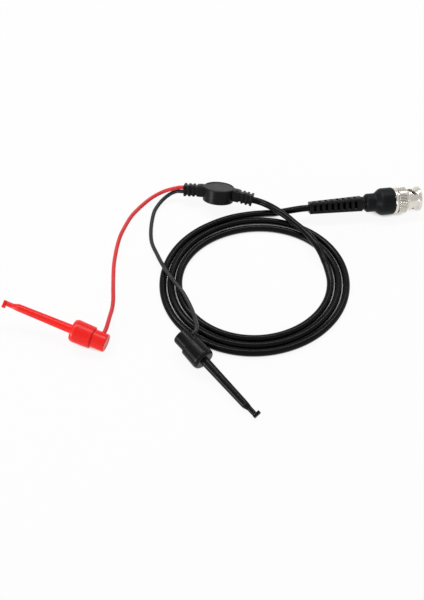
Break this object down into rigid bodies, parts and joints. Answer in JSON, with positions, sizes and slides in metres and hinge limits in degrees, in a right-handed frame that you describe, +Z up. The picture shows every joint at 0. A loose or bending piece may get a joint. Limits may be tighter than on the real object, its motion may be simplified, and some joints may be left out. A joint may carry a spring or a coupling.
{
  "type": "coaxial test lead with hook clips",
  "caption": "Coaxial oscilloscope test lead: bayonet plug, coiled black cable, round splitter, and a red and a black spring hook clip on thin leads",
  "frame": {"origin": "middle of the plug, splitter and clips, seen from above, on the table top", "axes": "X along the table from the red clip to the plug, Y away from the viewer, Z up"},
  "size_m": [0.2158, 0.1457, 0.0146],
  "materials": {
    "nickel": "bright nickel plating",
    "brass": "turned brass",
    "steel": "spring steel",
    "copper": "tinned copper and solder",
    "white_plastic": "white dielectric",
    "red_rubber": "silicone rubber",
    "black_plastic": "satin moulded plastic",
    "black_rubber": "satin moulded rubber",
    "black_jacket": "glossy flexible PVC",
    "red_plastic": "satin moulded plastic",
    "red_jacket": "flexible PVC"
  },
  "bodies": {
    "lead_set": {"connector_body": "nickel", "gasket": "red_rubber", "insulator": "white_plastic", "centre_pin": "brass", "wave_washer": "steel", "rear_bushing": "brass", "crimp_ferrule": "nickel", "backshell": "black_plastic", "strain_relief": "black_rubber", "coax_plug_tail": "black_jacket", "coax_core_end": "white_plastic", "splitter_body": "black_rubber", "coax_tail": "black_jacket", "red_tail": "red_jacket", "black_tail": "black_jacket", "core_joint": "copper", "shield_joint": "copper", "coax_plug_stretch": "black_jacket", "coax_coil": "black_jacket", "coax_splitter_stretch": "black_jacket", "red_lead": "red_jacket", "black_lead": "black_jacket", "red_clip_button": "red_plastic", "red_clip_hook_foot": "red_plastic", "red_clip_spring": "steel", "red_clip_hook_wire": "steel", "red_clip_wire_joint": "nickel", "black_clip_button": "black_plastic", "black_clip_hook_foot": "black_plastic", "black_clip_spring": "steel", "black_clip_hook_wire": "steel", "black_clip_wire_joint": "nickel"},
    "red_barrel": {"red_clip_body": "red_plastic"},
    "black_barrel": {"black_clip_body": "black_plastic"},
    "washer": {"thrust_washer": "steel"},
    "nut": {"coupling_nut": "nickel"}
  },
  "joints": [
    {"name": "red_clip_squeeze", "type": "slide", "parent": "lead_set", "child": "red_barrel", "axis": [0.9255, -0.3479, -0.1495], "range_m": [0, 0.0026], "stiffness_N_per_m": 400, "springref_m": -0.004, "deforming": ["red_clip_spring"]},
    {"name": "black_clip_squeeze", "type": "slide", "parent": "lead_set", "child": "black_barrel", "axis": [-0.6435, 0.7588, 0.1011], "range_m": [0, 0.0026], "stiffness_N_per_m": 400, "springref_m": -0.004, "deforming": ["black_clip_spring"]},
    {"name": "nut_play", "type": "slide", "parent": "lead_set", "child": "washer", "axis": [0.9932, 0.1167, 0], "range_m": [0, 0.0003], "stiffness_N_per_m": 800, "springref_m": -0.0005, "deforming": ["wave_washer"]},
    {"name": "nut_turn", "type": "hinge", "parent": "washer", "child": "nut", "pos_m": [0.09951, 0.05916, 0.0073], "axis": [0.9932, 0.1167, 0], "continuous": true}
  ]
}
